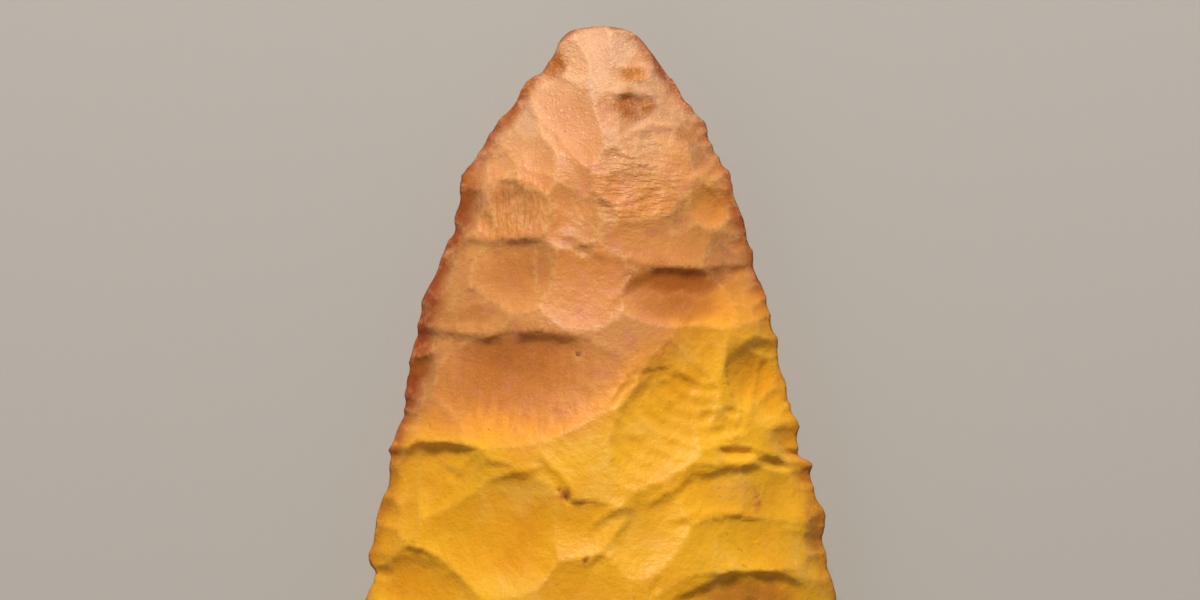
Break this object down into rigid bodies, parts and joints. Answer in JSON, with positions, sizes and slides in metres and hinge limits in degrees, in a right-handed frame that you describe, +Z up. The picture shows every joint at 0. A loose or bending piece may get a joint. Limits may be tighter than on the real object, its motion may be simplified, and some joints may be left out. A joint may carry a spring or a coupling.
{
  "type": "stone hand axe",
  "caption": "Teardrop-shaped flaked stone hand axe with a pointed tip, sharp scalloped margins and a rounded butt, lying on its flatter face; a hand-held cutting and chopping tool.",
  "frame": {"origin": "centre of the footprint, on the floor that the stone lies on", "axes": "+Y points to the tip, +X across the width, +Z up out of the more domed face"},
  "size_m": [0.0795, 0.15, 0.0339],
  "materials": {
    "flint": "waxy golden and orange-brown patinated flint, paler and sugary towards the tip"
  },
  "bodies": {
    "root": {"hand_axe": "flint"}
  },
  "joints": []
}
